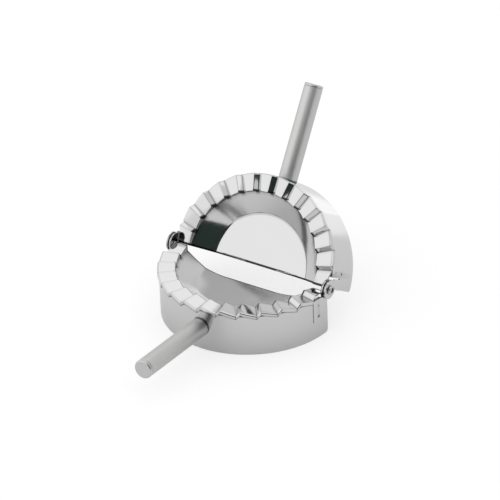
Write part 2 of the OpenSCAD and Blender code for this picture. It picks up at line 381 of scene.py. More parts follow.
class SteelEffects:
    """Node groups for the effects that the steel finishes share, each built once."""

    CLOUD_SCALE = 22.0
    SMEAR_SCALE = 45.0
    SMEAR_START = 0.45
    SCRATCHES = (900.0, 90.0, 240.0)
    LEAST_ROUGHNESS = 0.03
    GRAIN_STRETCH = (1.0, 1.0, 0.012)
    BAND_SHARE = 0.12

    def __init__(self) -> None:
        """Builds the groups."""
        self.tone = self._tone()
        self.marks = self._marks()
        self.grain = self._grain()
        self.ripple = self._ripple()
        self.crease = self._crease()

    def _tone(self) -> Tree:
        """Steel colour with faint clouds of a lighter and a darker tone.

        Returns:
            The group.
        """
        inputs = {"Vector": VECTOR, "Tone": COLOUR, "Shift": FLOAT}
        sketch, given, out = new_group("steel_tone", SHADER_TREE, inputs, {"Colour": COLOUR})
        cloud = sketch.math("SUBTRACT", sketch.noise(given["Vector"], self.CLOUD_SCALE, 2.0), 0.5)
        gain = sketch.math("MULTIPLY_ADD", cloud, given["Shift"], 1.0)
        sketch.feed(out["Colour"], sketch.scaled(given["Tone"], gain))
        return sketch.tree

    def _marks(self) -> Tree:
        """Roughness with the faint smears of handling and a haze of fine scratches.

        Returns:
            The group.
        """
        inputs = {"Vector": VECTOR, "Roughness": FLOAT, "Smear": FLOAT, "Scratch": FLOAT}
        sketch, given, out = new_group("handling_marks", SHADER_TREE, inputs, {"Roughness": FLOAT})
        broad = sketch.math("SUBTRACT", sketch.noise(given["Vector"], self.SMEAR_SCALE, 3.0), self.SMEAR_START)
        smear = sketch.math("MULTIPLY", sketch.math("MAXIMUM", broad, 0.0), given["Smear"])
        crossed = sketch.stretched(given["Vector"], self.SCRATCHES)
        fine = sketch.math("SUBTRACT", sketch.noise(crossed, 1.0, 2.0), 0.5)
        haze = sketch.math("MULTIPLY", fine, given["Scratch"])
        total = sketch.math("ADD", sketch.math("ADD", given["Roughness"], smear), haze)
        sketch.feed(out["Roughness"], sketch.math("MAXIMUM", total, self.LEAST_ROUGHNESS))
        return sketch.tree

    def _grain(self) -> Tree:
        """Fine parallel lines of a brushed face, which run along the vector's Z.

        Returns:
            The group.
        """
        inputs, outputs = {"Vector": VECTOR, "Fineness": FLOAT}, {"Height": FLOAT, "Shade": FLOAT}
        sketch, given, out = new_group("brushed_grain", SHADER_TREE, inputs, outputs)
        across = sketch.stretched(given["Vector"], self.GRAIN_STRETCH)
        lines = sketch.noise(across, given["Fineness"], 3.0)
        bands = sketch.noise(across, sketch.math("MULTIPLY", given["Fineness"], self.BAND_SHARE), 1.0)
        sketch.feed(out["Height"], lines)
        sketch.feed(out["Shade"], sketch.math("MULTIPLY_ADD", bands, 0.5, sketch.math("MULTIPLY", lines, 0.5)))
        return sketch.tree

    @staticmethod
    def _ripple() -> Tree:
        """Height of the slow waves that a press leaves in polished sheet.

        Returns:
            The group.
        """
        inputs = {"Vector": VECTOR, "Waves": FLOAT}
        sketch, given, out = new_group("press_ripple", SHADER_TREE, inputs, {"Height": FLOAT})
        sketch.feed(out["Height"], sketch.noise(given["Vector"], given["Waves"], 1.0))
        return sketch.tree

    @staticmethod
    def _crease() -> Tree:
        """Colour darkened by the painted shade and the weld burns that a mesh stores at its points.

        Returns:
            The group.
        """
        inputs = {"Colour": COLOUR, "Crease": FLOAT, "Depth": FLOAT}
        sketch, given, out = new_group("painted_shade_and_weld_burn", SHADER_TREE, inputs, {"Colour": COLOUR})
        left = sketch.math("SUBTRACT", 1.0, sketch.math("MULTIPLY", given["Crease"], given["Depth"]))
        sketch.feed(out["Colour"], sketch.scaled(given["Colour"], left))
        return sketch.tree


@dataclass(frozen=True)
class SteelFinish:
    """One finish of the steel: its tone, its gloss and the marks on it."""

    name: str
    tone: Point3
    roughness: float
    tone_shift: float = 0.05
    smear: float = 0.06
    scratch: float = 0.03
    grain: Grain = Grain.NONE
    grain_lines: float = 5000.0
    grain_depth: float = 2.0e-6
    grain_shade: float = 0.0
    waves: float = 90.0
    wave_depth: float = 1.2e-5
    # How far the stored painted shade and weld burns darken the base colour.
    crease_depth: float = 0.0
    dish_haze: float = 0.0

    def build(self, effects: SteelEffects, place: Matrix, name: str) -> bpy.types.Material:
        """Builds the material for pieces that share one frame.

        Args:
            effects: The shared node groups.
            place: The frame that the pattern lies in.
            name: The material's name.

        Returns:
            The material.
        """
        material = bpy.data.materials.new(name)
        material.use_nodes = True
        sketch = Sketch(material.node_tree)
        shader = material.node_tree.nodes["Principled BSDF"]
        shader.inputs["Metallic"].default_value = 1.0
        at = self._pattern_frame(sketch, place)
        colour = sketch.use(effects.tone, Vector=at, Tone=(*self.tone, 1.0), Shift=self.tone_shift).outputs[0]
        roughness = sketch.use(
            effects.marks, Vector=at, Roughness=self.roughness, Smear=self.smear, Scratch=self.scratch
        ).outputs[0]
        ripple = sketch.use(effects.ripple, Vector=at, Waves=self.waves).outputs[0]
        normal = self._bump(sketch, ripple, self.wave_depth, {})
        if self.grain is not Grain.NONE:
            grain = sketch.use(effects.grain, Vector=self._grain_vector(sketch, at), Fineness=self.grain_lines)
            normal = self._bump(sketch, grain.outputs["Height"], self.grain_depth, {"Normal": normal})
            shade = sketch.math("SUBTRACT", grain.outputs["Shade"], 0.5)
            roughness = sketch.math("MULTIPLY_ADD", shade, self.grain_shade, roughness)
        if self.dish_haze > 0:
            roughness = sketch.math("MULTIPLY_ADD", sketch.stored(HAZE), self.dish_haze, roughness)
        # Painted shade, with the skirt's weld burns, darkens the base colour here.
        if self.crease_depth > 0:
            dark = sketch.stored(SHADE_AND_BURN)
            colour = sketch.use(effects.crease, Colour=colour, Crease=dark, Depth=self.crease_depth).outputs[0]
        for socket, value in (("Base Color", colour), ("Roughness", roughness), ("Normal", normal)):
            sketch.feed(shader.inputs[socket], value)
        return material

    def _grain_vector(self, sketch: Sketch, at: Socket) -> Socket:
        """Vector whose Z runs along the grain: the frame's Z, or round it on a turned face.

        Args:
            sketch: The material's tree.
            at: The vector in the pattern's frame.

        Returns:
            The vector.
        """
        if self.grain is Grain.ALONG:
            return at
        x, y, z = sketch.node("ShaderNodeSeparateXYZ", {0: at}).outputs
        square = sketch.math("ADD", sketch.math("MULTIPLY", x, x), sketch.math("MULTIPLY", y, y))
        return sketch.result("ShaderNodeCombineXYZ", {0: sketch.math("SQRT", square), 1: z})

    @staticmethod
    def _pattern_frame(sketch: Sketch, place: Matrix) -> Socket:
        """Object coordinates turned into the frame that the pattern lies in.

        Args:
            sketch: The material's tree.
            place: The frame.

        Returns:
            The vector in that frame.
        """
        feeds = {"Location": place.to_translation(), "Rotation": place.to_euler()}
        feeds["Vector"] = sketch.node("ShaderNodeTexCoord").outputs["Object"]
        return sketch.result("ShaderNodeMapping", feeds, vector_type="TEXTURE")

    @staticmethod
    def _bump(sketch: Sketch, height: Socket, depth: float, below: Feeds) -> Socket:
        """Adds a Bump node, on top of the normal in below if there is one, with its depth in metres."""
        return sketch.result("ShaderNodeBump", {"Strength": 1.0, "Distance": depth, "Height": height, **below})


DIE_FINISH = SteelFinish("polished_die", (0.68, 0.685, 0.68), 0.06, crease_depth=0.82, dish_haze=0.18)
SKIRT_FINISH = SteelFinish("polished_skirt", (0.68, 0.685, 0.68), 0.12, wave_depth=8.0e-6, crease_depth=0.75)
PLAIN_FINISH = SteelFinish("plain_steel", (0.50, 0.505, 0.50), 0.32, wave_depth=2.0e-6)
TUBE_FINISH = SteelFinish(
    "satin_tube", (0.635, 0.64, 0.63), 0.46, grain=Grain.ALONG, grain_lines=4200.0, grain_depth=5.0e-6,
    grain_shade=0.25, wave_depth=1.0e-6, crease_depth=0.7,
)
CAP_FINISH = SteelFinish(
    "satin_cap", (0.60, 0.605, 0.60), 0.28, grain=Grain.TURNED, grain_lines=5200.0, grain_depth=3.0e-6,
    grain_shade=0.15, wave_depth=1.0e-6,
)
SCREW_FINISH = SteelFinish(
    "screw_steel", (0.46, 0.465, 0.47), 0.28, grain=Grain.TURNED, grain_lines=4000.0, wave_depth=1.0e-6
)
RIVET_FINISH = SteelFinish(
    "rivet_steel", (0.57, 0.575, 0.57), 0.16, grain=Grain.TURNED, grain_lines=3000.0, grain_depth=1.0e-6,
    wave_depth=2.0e-6, crease_depth=0.8,
)


def dress(piece: Piece, finish: SteelFinish, effects: SteelEffects, place: Matrix) -> Piece:
    """Gives a piece its finish: in a frame node's first material slot, linked to the object, or as a new
    piece's only material.

    Args:
        piece: A new piece or a node of the frame.
        finish: The finish.
        effects: The shared node groups.
        place: The frame that the finish's pattern lies in.

    Returns:
        The same piece.
    """
    material = finish.build(effects, place, f"{finish.name}_{piece.name}")
    if "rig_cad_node" in piece and piece.material_slots:
        piece.material_slots[0].link = "OBJECT"
        piece.material_slots[0].material = material
        return piece
    piece.data.materials.clear()
    piece.data.materials.append(material)
    return piece


@dataclass(frozen=True)
class Sheets:
    """Sizes in millimetres that the sheets of a jaw share."""

    rim_r: float = 50.0
    die_t: float = 0.8
    skirt_t: float = 1.0
    edge_gap: float = 0.3
    weld_gap: float = 0.05
    ear_gap: float = 0.8

    @property
    def skirt_r(self) -> float:
        """Outer radius of the skirt, which stands inside the die's lip."""
        return self.rim_r - self.die_t - 2 * self.weld_gap

    @property
    def rear_step(self) -> float:
        """How far the rear hinge tabs stand outside the front ones."""
        return self.skirt_t + self.ear_gap

    @property
    def foot(self) -> float:
        """Height of the skirt's foot in the jaw's frame, as far below the hinge axis as the floor."""
        return -frame["joints"][0]["pos_m"][2] / MM


@dataclass(frozen=True)
class RimMarks:
    """Painted shade of the crimp: dark lines along its creases, and along the line where the dish's wall meets
    the rim.
    """

    crease_w: float = 0.42
    crease_dark: float = 0.55
    crease_swing: float = -0.22
    line_in: float = 1.2
    line_out: float = 0.4
    line_dark: float = 0.4
    fade_in: float = 1.0
    fade_out: float = 0.35
    riser_share: float = 0.62
    riser_out: float = 1.05
    riser_dark: float = 0.75


@dataclass(frozen=True)
class Die:
    """A jaw's die: one pressed sheet with a dish inside and a crimped rim, in millimetres."""

    jaw: Jaw
    sheets: Sheets = Sheets()
    marks: RimMarks = RimMarks()
    dish_r: float = 40.0
    floor_r: float = 15.0
    floor_ring: float = 10.0
    ring_r: float = 28.7
    bowl_deg: float = 14.5
    wall_curve_deg: float = 4.0
    dish_depth: float = 12.0
    dish_steps: int = 12
    teeth: int = 14
    tooth_h: float = 2.4
    riser_w: float = 2.3
    ridge_soft: float = 0.3
    dough_gap: float = 0.9
    lip_h: float = 2.2
    lip_bend: float = 0.9
    # Height of the painted shadow band at the bottom of the lip, where the rim overhangs the skirt.
    lip_dark: float = 0.35
    bend_steps: int = 6
    inner_bend: float = 0.5
    inner_steps: int = 5
    edge_soft: float = 0.25
    soft_steps: int = 2
    support: float = 0.35
    cut_low: float = 0.4
    cut_insets: tuple[float, ...] = (0.15, 0.25, 0.35, 0.45, 0.55, 0.7)
    cut_soft: float = 0.18
    trim_clear: float = 0.35
    ear_deg: float = 6.2
    notch_deg: float = 0.15
    end_marks_deg: tuple[float, ...] = (2.2, 4.0, 5.8, 7.6, 9.4)
    ridge_marks_deg: tuple[float, ...] = (-0.5, -0.3, -0.1, 0.1, 0.3, 0.5)
    ramp_marks: tuple[float, ...] = (0.2, 0.35, 0.5, 0.65, 0.8)
    # Painted shade line along each cut end of the rim, standing in for the dark that its rounded cut edge
    # mirrors.
    burr_w: float = 0.62
    burr_dark: float = 1.15
    burr_fade: float = 0.15
    bowl_haze: float = 1.0
    wall_haze: float = 1.0
    haze_fade: tuple[float, float] = (-0.5, 1.5)
    crease_deg: float = 32.0

    @property
    def pitch_deg(self) -> float:
        """Angle of one tooth."""
        return 180 / self.teeth

    @property
    def riser_deg(self) -> float:
        """Angle of one riser."""
        return math.degrees(self.riser_w / self.sheets.rim_r)

    @property
    def mid_z(self) -> float:
        """Mid height of the ramps."""
        return -self.dough_gap / 2

    @property
    def trim_r(self) -> float:
        """Radius of the rim between the hinge ears."""
        return self.sheets.skirt_r - self.sheets.skirt_t - self.trim_clear

    def _wall(self, off: float) -> list[Point2]:
        """Dish from its floor up: a shallow bowl to the ring, then a steeper wall that curves a little.

        Args:
            off: How far the face lies off the inner one.

        Returns:
            Points as radius and height.
        """
        wall_top = self.mid_z - self.tooth_h / 2 - self.sheets.die_t - self.inner_bend / 2
        bowl_r = (self.ring_r - self.floor_r) / math.sin(math.radians(self.bowl_deg))
        middle = (self.floor_r, bowl_r - self.dish_depth)
        bowl = arc(middle, bowl_r + off, -90, self.bowl_deg - 90, self.dish_steps)
        low = -self.dish_depth + bowl_r * (1 - math.cos(math.radians(self.bowl_deg)))
        run, rise = self.dish_r - self.ring_r, wall_top - low
        chord_deg = math.degrees(math.atan2(rise, run))
        start_deg, end_deg = chord_deg - self.wall_curve_deg, chord_deg + self.wall_curve_deg
        wall_r = math.hypot(run, rise) / (2 * math.sin(math.radians(self.wall_curve_deg)))
        start = math.radians(start_deg)
        centre = (self.ring_r - wall_r * math.sin(start), low + wall_r * math.cos(start))
        return bowl[:-1] + arc(centre, wall_r + off, start_deg - 90, end_deg - 90, self.dish_steps)

    def _edge(self, edge_r: float, lip: float) -> list[Point2]:
        """Section of the rim's outer edge below a top face at height 0, from the top face to the underside.

        Args:
            edge_r: Radius of the edge.
            lip: 1 where the edge turns down into the lip, 0 where it is a plain cut edge.

        Returns:
            Points as radius and height.
        """
        t, soft, bend, low = self.sheets.die_t, self.edge_soft, self.lip_bend, -self.lip_h
        turned = [(edge_r - bend - self.support, 0.0)]
        turned += arc((edge_r - bend, -bend), bend, 90, 0, self.bend_steps)
        # A station at the top of the lip's painted shadow band.
        turned += [(edge_r, low + soft + self.lip_dark)]
        turned += arc((edge_r - soft, low + soft), soft, 0, -90, self.soft_steps)
        turned += arc((edge_r - t + soft, low + soft), soft, -90, -180, self.soft_steps)
        turned += [(edge_r - t, -bend), (edge_r - bend, -t), (edge_r - bend - self.support, -t)]
        plain = [(edge_r - soft - self.support, 0.0)]
        plain += arc((edge_r - soft, -soft), soft, 90, 0, self.bend_steps)
        plain += [(edge_r, -self.cut_low)]
        plain += arc((edge_r - soft, soft - t), soft, 0, -90, self.soft_steps)
        plain += [(edge_r - soft - inset, -t) for inset in self.cut_insets]
        return [tuple(p) for p in lip * np.array(turned) + (1 - lip) * np.array(plain)]

    def section(self, edge_r: float, lip: float) -> np.ndarray:
        """Section of the sheet, as an open chain from the floor's top face round the edge to its underside.

        Args:
            edge_r: Radius of the rim's edge.
            lip: 1 where the edge has its lip, 0 where it is cut plain.

        Returns:
            Rows of radius, height without the crimp, how far the point follows the crimp, and how dark its
            painted shadow under the lip is.
        """
        t, bend = self.sheets.die_t, self.inner_bend
        still = [(self.floor_ring, -self.dish_depth), *self._wall(0.0)]
        under = [*reversed(self._wall(t)), (self.floor_ring, -self.dish_depth - t)]
        moving = arc((self.dish_r + bend, -bend), bend, 180, 90, self.inner_steps)
        moving += [(self.dish_r + bend + self.support, 0.0), (self.dish_r + bend + 3 * self.support, 0.0)]
        moving += self._edge(edge_r, lip)
        moving += [(self.dish_r + bend + self.support, -t), (self.dish_r + t, -t)]
        # Lip points below this height carry the painted shadow under the lip.
        shade_below = self.lip_dark + self.edge_soft - self.lip_h
        rows = [(r, z, 0.0, 0.0) for r, z in still]
        rows += [(r, z + self.mid_z, 1.0, lip if z < shade_below else 0.0) for r, z in moving]
        rows += [(r, z, 0.0, 0.0) for r, z in under]
        return np.array(rows)

    @staticmethod
    def shrunk(rows: np.ndarray, inset: float) -> np.ndarray:
        """Moves a section's points into the sheet by a small distance.

        Args:
            rows: The section.
            inset: The distance.

        Returns:
            The smaller section.
        """
        flat = rows[:, :2]
        steps = np.diff(flat, axis=0)
        steps /= np.linalg.norm(steps, axis=1)[:, None]
        before = np.vstack([steps[:1], steps])
        along = before + np.vstack([steps, steps[-1:]])
        along /= np.linalg.norm(along, axis=1)[:, None]
        inward = np.stack([along[:, 1], -along[:, 0]], 1)
        reach = inset / np.maximum(0.5, np.abs((along * before).sum(1)))
        moved = rows.copy()
        moved[:, :2] = flat + inward * reach[:, None]
        return moved

    def stations(self) -> list[tuple[float, float]]:
        """Sets out the stations round the rim.

        Returns:
            Angle and phase of each one, where a riser's middle has a whole phase.
        """
        share = self.riser_deg / self.pitch_deg
        half = self.riser_deg / 2
        start, end = self.pitch_deg + half, self.pitch_deg - half
        outer = [*self.end_marks_deg, start, start + self.notch_deg]
        angles = outer + [180 - a for a in outer]
        for k in range(1, self.teeth):
            middle = k * self.pitch_deg
            angles += [middle, *(middle + side + d for side in (-half, half) for d in self.ridge_marks_deg)]
        for k in range(1, self.teeth - 1):
            ramp = k * self.pitch_deg + half
            angles += [ramp + (self.pitch_deg - 2 * half) * f for f in self.ramp_marks]
        made = []
        for angle in sorted(angles):
            phase = angle / self.pitch_deg
            if angle < end:
                phase = share / 2 + (1 - share) * angle / end
            if angle > 180 - end:
                phase = self.teeth - share / 2 - (1 - share) * (180 - angle) / end
            made.append((angle, phase))
        return made

    def _edge_at(self, angle: float) -> tuple[float, float]:
        """Reads the rim's edge at an angle.

        Args:
            angle: Angle from the left end of the cut edge.

        Returns:
            Radius of the edge, and its share of lip.
        """
        near = min(angle, 180 - angle)
        start = self.pitch_deg + self.riser_deg / 2
        full = start + self.notch_deg
        radii = [self.trim_r, self.sheets.skirt_r, self.sheets.skirt_r, self.sheets.rim_r]
        radius = float(np.interp(near, [self.ear_deg, self.pitch_deg - self.riser_deg / 2, start, full], radii))
        return radius, float(np.interp(near, [start, full], [0.0, 1.0]))

    def blank(self) -> Piece:
        """Makes the flat blank: a net of stations and section points that carries what the press needs.

        Returns:
            The blank, with point attributes for the press tree.
        """
        share = self.riser_deg / self.pitch_deg
        # The stations that round each cut end carry its painted shade line.
        soft, gap, cut_shade, dark = self.cut_soft, self.sheets.edge_gap, self.burr_w, self.burr_dark
        ends = [(soft, gap, dark), (0.3 * soft, gap + 0.3 * soft, dark), (0.0, gap + soft, dark)]
        ends += [(0.0, gap + cut_shade, dark), (0.0, gap + cut_shade + self.burr_fade, 0.0)]
        end_section = self.section(self.trim_r, 0.0)

        def cut_end(angle: float, phase: float) -> list[tuple]:
            """Stations that round off a cut end."""
            return [(angle, phase, cut, self.shrunk(end_section, inset), d) for inset, cut, d in ends]

        nets = cut_end(0.0, share / 2)
        nets += [(a, p, 0.0, self.section(*self._edge_at(a)), 0.0) for a, p in self.stations()]
        nets += reversed(cut_end(180.0, self.teeth - share / 2))
        count, sides = len(nets), len(end_section)
        points = np.array([(i, j, 0.0) for i in range(count) for j in range(sides)]) * MM
        made = mesh_object(f"die_{self.jaw.word}", points, self._net_faces(count, sides, len(ends)))
        turn, phase, cut, cut_shades = (np.repeat([n[i] for n in nets], sides) for i in (0, 1, 2, 4))
        reach, rise, follow, lips = np.concatenate([n[3] for n in nets]).T
        fade = [self.ring_r + d for d in self.haze_fade]
        columns = {
            "turn": np.radians(turn),
            "phase": phase,
            "cut": cut * MM,
            "reach": reach * MM,
            "rise": rise * MM,
            "follow": follow,
            # edge: the painted shade of the cut ends and the painted shadow under the lip.
            "edge": np.maximum(cut_shades, lips),
            HAZE: (1 - follow) * np.interp(reach, fade, (self.bowl_haze, self.wall_haze)),
        }
        for name, values in columns.items():
            store(made, name, values)
        return made

    @staticmethod
    def _net_faces(count: int, sides: int, ends: int) -> Faces:
        """Faces of the blank.

        Args:
            count: Number of stations.
            sides: Number of points in a section.
            ends: Number of stations that round each cut end.

        Returns:
            The faces: the skin, both cut ends, the floor's cut edge and its two faces.
        """
        last = (count - 1) * sides
        faces = [f for a in range(0, last, sides) for f in ring_faces(a, a + sides, sides)[:-1]]
        faces.append(list(range(sides - 1, -1, -1)))
        faces.append(list(range(last, last + sides)))
        faces.append([0, last, last + sides - 1, sides - 1])
        for side in (0, sides - 1):
            row = [i * sides + side for i in range(count)]
            faces += [[row[i], row[i + 1], row[-2 - i], row[-1 - i]] for i in range(ends - 1)]
            faces.append(row[ends - 1 : count - ends + 1])
        return faces

    @staticmethod
    def press_tree(marks: RimMarks) -> Tree:
        """Builds the tree that bends a blank round the jaw, crimps its rim and stores painted shade along its
        creases, the wall's top, its cut ends and its lip.

        Args:
            marks: The crimp's painted shade.

        Returns:
            The tree, with the crimp's sizes as its inputs.
        """
        inputs = {"Blank": GEOMETRY, "Tooth Height": FLOAT, "Riser Share": FLOAT, "Ridge Softness": FLOAT}
        inputs |= {"Crease Share": FLOAT, "Line Start": FLOAT, "Line End": FLOAT, "Finish": MATERIAL}
        sketch, given, out = new_group("press_die", GEOMETRY_TREE, inputs, {"Die": GEOMETRY})
        height, share, soft = (given[n] for n in ("Tooth Height", "Riser Share", "Ridge Softness"))
        do = sketch.math
        add, sub, mul, div = (partial(do, name) for name in ("ADD", "SUBTRACT", "MULTIPLY", "DIVIDE"))
        names = ("phase", "turn", "reach", "rise", "cut", "follow", "edge")
        phase, turn, reach, rise, cut, follow, edge = (sketch.column(name) for name in names)

        offset = sub(phase, do("ROUND", phase))
        half_share, half_height = mul(share, 0.5), mul(height, 0.5)
        fall = div(height, sub(1.0, share))
        riser = mul(offset, div(height, share))
        before = sub(mul(half_height, -1.0), mul(add(offset, half_share), fall))
        after = sub(half_height, mul(sub(offset, half_share), fall))
        crimp = do("SMOOTH_MIN", do("SMOOTH_MAX", riser, before, soft), after, soft)

        depth = do("MAXIMUM", cut, mul(do("SINE", turn), reach))
        side = mul(do("SIGN", do("COSINE", turn)), -1.0)
        x = mul(side, do("SQRT", sub(mul(reach, reach), mul(depth, depth))))
        z = do("MULTIPLY_ADD", crimp, follow, rise)
        place = sketch.result("ShaderNodeCombineXYZ", {0: x, 1: mul(depth, -1.0), 2: z})
        moved = sketch.result("GeometryNodeSetPosition", {"Geometry": given["Blank"], "Position": place})

        # Painted shade: lines along the creases beside each riser, a line where the dish's wall meets the rim
        # that is darker at the risers, and the blank's painted shade of its cut ends and lip.
        ridge_gap = do("ABSOLUTE", sub(do("ABSOLUTE", offset), half_share))
        crease = mul(do("MAXIMUM", sub(1.0, div(ridge_gap, given["Crease Share"])), 0.0), follow)
        crease = mul(crease, do("MULTIPLY_ADD", do("SIGN", offset), marks.crease_swing, marks.crease_dark))
        near_riser = do("LESS_THAN", do("ABSOLUTE", offset), mul(share, marks.riser_share))
        line_end = do("MULTIPLY_ADD", near_riser, marks.riser_out * MM, given["Line End"])
        inner = div(sub(reach, given["Line Start"]), marks.fade_in * MM)
        outer = div(sub(line_end, reach), marks.fade_out * MM)
        line = do("MAXIMUM", do("MINIMUM", do("MINIMUM", inner, outer), 1.0), 0.0)
        line = mul(line, do("MULTIPLY_ADD", near_riser, marks.riser_dark, marks.line_dark))
        dark = do("MAXIMUM", do("MAXIMUM", crease, line), edge)
        feeds = {"Geometry": moved, "Name": SHADE_AND_BURN, "Value": dark}
        marked = sketch.result("GeometryNodeStoreNamedAttribute", feeds, data_type="FLOAT", domain="POINT")
        sketch.feed(out["Die"], sketch.dressed(marked, given["Finish"]))
        return sketch.tree

    def build(self, tree: Tree, effects: SteelEffects) -> Piece:
        """Presses, dresses and seats the die.

        Args:
            tree: The press tree.
            effects: The shared node groups.

        Returns:
            The finished piece.
        """
        place = self.jaw.place()
        piece = self.blank()
        values = {
            "Tooth Height": self.tooth_h * MM,
            "Riser Share": self.riser_deg / self.pitch_deg,
            "Ridge Softness": self.ridge_soft * MM,
            "Crease Share": self.marks.crease_w / (math.radians(self.pitch_deg) * self.dish_r),
            "Line Start": (self.dish_r - self.marks.line_in) * MM,
            "Line End": (self.dish_r + self.marks.line_out) * MM,
        }
        run_tree(piece, tree, values)
        for name in ("turn", "phase", "cut", "reach", "rise", "follow", "edge"):
            piece.data.attributes.remove(piece.data.attributes[name])
        close_up(piece, place, self.crease_deg)
        dress(piece, DIE_FINISH, effects, place)
        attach(piece, self.jaw.value)
        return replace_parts(piece, f"{self.jaw.word}_die")


@dataclass(frozen=True)
class Skirt:
    """A jaw's skirt: a flat blank with two hinge tabs, rolled round the die, in millimetres."""

    jaw: Jaw
    step: float
    tab_w: float
    slit_depth: float
    weld_in: float
    drop: float
    sheets: Sheets = Sheets()
    top: float = -2.5
    slit_w: float = 0.6
    joggle_h: float = 2.0
    corner_r: float = 1.5
    corner_steps: int = 6
    ear_r: float = 5.2
    ear_steps: int = 64
    ear_bore: float = 1.55
    screw_bore: float = 2.75
    bore_sides: int = 32
    weld_depths: tuple[float, float] = (6.5, 13.0)
    weld_r: float = 0.7
    weld_dimple: float = 0.2
    weld_flat: float = 0.3
    weld_sides: int = 16
    weld_rings: tuple[float, ...] = (1.5, 1.0, 0.7, 0.35)
    weld_burns: tuple[float, float] = (0.5, 1.0)
    burn_middle: float = 2.0
    burn_fall: float = 1.2
    # Painted shade on the inner face of each tab near its ear.
    ear_dark_w: float = 9.0
    ear_dark_fade: float = 3.0
    ear_dark_low: float = -7.0
    flat_w: float = 4.5
    flat_fade: float = 3.5
    roll_step: float = 1.3
    tab_step: float = 0.75
    tab_start: float = 0.4
    joggle_step: float = 0.25
    joggle_over: float = 0.3
    guide_past: float = 1.0
    edge_soft: float = 0.12
    edge_steps: int = 2
    edge_deg: float = 50.0
    crease_deg: float = 20.0

    @property
    def length(self) -> float:
        """Length of the blank, along the skirt's outer face."""
        return math.pi * self.sheets.skirt_r

    def _end_outline(self) -> list[Point2]:
        """Outline of the blank's left end, from its top edge down the slit and round the ear to the foot.

        Returns:
            Points as length from the left end and height.
        """
        gap, foot = self.sheets.edge_gap, self.sheets.foot
        meet = math.degrees(math.asin(self.top / self.ear_r))
        leave = math.degrees(math.asin(gap / self.ear_r))
        corner = (gap + self.corner_r, foot + self.corner_r)
        slit_mid = (self.tab_w + self.slit_w / 2, self.slit_w / 2 - self.slit_depth)
        points = [(self.tab_w + self.slit_w, self.top)]
        points += arc(slit_mid, self.slit_w / 2, 0, -180, self.corner_steps)
        points += [(self.tab_w, self.top)]
        points += arc((0.0, 0.0), self.ear_r, meet, 270 + leave, self.ear_steps)
        points += arc(corner, self.corner_r, 180, 270, self.corner_steps)
        return points

    def outline(self) -> list[Point2]:
        """Outline of the whole blank, as length from the left end and height."""
        left = self._end_outline()
        return left + [(self.length - s, z) for s, z in reversed(left)]

    def holes(self) -> list[list[Point2]]:
        """Round holes of the blank: the two ear bores and the bore for the handle's screw.

        Returns:
            Their corners, one list a hole.
        """
        bores = [((0.0, 0.0), self.ear_bore), ((self.length, 0.0), self.ear_bore)]
        bores.append(((self.length / 2, -self.drop), self.screw_bore))
        return [circle(centre, radius, self.bore_sides) for centre, radius in bores]

    def _guides(self) -> tuple[list[Point2], list[tuple[int, int]]]:
        """Lines inside the blank that the rolled sheet bends or steps along.

        Returns:
            Their points and their edges.
        """
        past = self.guide_past
        low, high = self.sheets.foot - past, self.ear_r + past
        near = self.tab_w + self.slit_w
        ends = np.arange(self.tab_start - self.ear_r, near, self.tab_step)
        count = int((self.length - 2 * near - 2 * past) / self.roll_step)
        middle = np.linspace(near + past, self.length - near - past, count)
        lines = [((s, low), (s, high)) for s in [*ends, *middle, *(self.length - ends)]]
        joggle_top = self.joggle_h - self.slit_depth
        first, last = -self.slit_depth - self.joggle_step, joggle_top + self.joggle_over
        for z in np.arange(first, last, self.joggle_step):
            lines.append(((-past, z), (near, z)))
            lines.append(((self.length - near, z), (self.length + past, z)))
        points = [p for line in lines for p in line]
        return points, [(2 * i, 2 * i + 1) for i in range(len(lines))]

    def _weld_centres(self) -> list[Point2]:
        """Centres of the spot welds, on both tabs."""
        left = [(self.weld_in, -depth) for depth in self.weld_depths]
        return left + [(self.length - s, z) for s, z in left]

    @staticmethod
    def _inside(points: np.ndarray, loop: list[Point2]) -> np.ndarray:
        """Which points lie inside a closed loop.

        Args:
            points: Rows of two coordinates.
            loop: Corners of the loop.

        Returns:
            One truth value a point.
        """
        found = np.zeros(len(points), bool)
        for (x0, y0), (x1, y1) in zip(loop, loop[1:] + loop[:1]):
            if y0 == y1:
                continue
            crosses = (y0 > points[:, 1]) != (y1 > points[:, 1])
            at = x0 + (points[:, 1] - y0) * (x1 - x0) / (y1 - y0)
            found ^= crosses & (points[:, 0] < at)
        return found

    def flat_net(self) -> tuple[np.ndarray, Faces]:
        """Net of the flat blank, cut along its outline, its holes and its bend lines.

        Returns:
            Its points, as length and height, and its triangles.
        """
        loops = [self.outline(), *self.holes()]
        for centre in self._weld_centres():
            loops += [circle(centre, self.weld_r * f, self.weld_sides) for f in self.weld_rings]
        points, edges = self._guides()
        for loop in loops:
            start = len(points)
            points += loop
            edges += [(start + i, start + (i + 1) % len(loop)) for i in range(len(loop))]
        found = delaunay_2d_cdt([Vector(p) for p in points], edges, [], 0, 1e-5)
        corners = np.array([tuple(v) for v in found[0]])
        faces = np.array([list(f) for f in found[2]])
        middles = corners[faces].mean(1)
        kept = self._inside(middles, loops[0])
        for hole in self.holes():
            kept &= ~self._inside(middles, hole)
        used, numbers = np.unique(faces[kept], return_inverse=True)
        return corners[used], numbers.reshape(-1, 3).tolist()

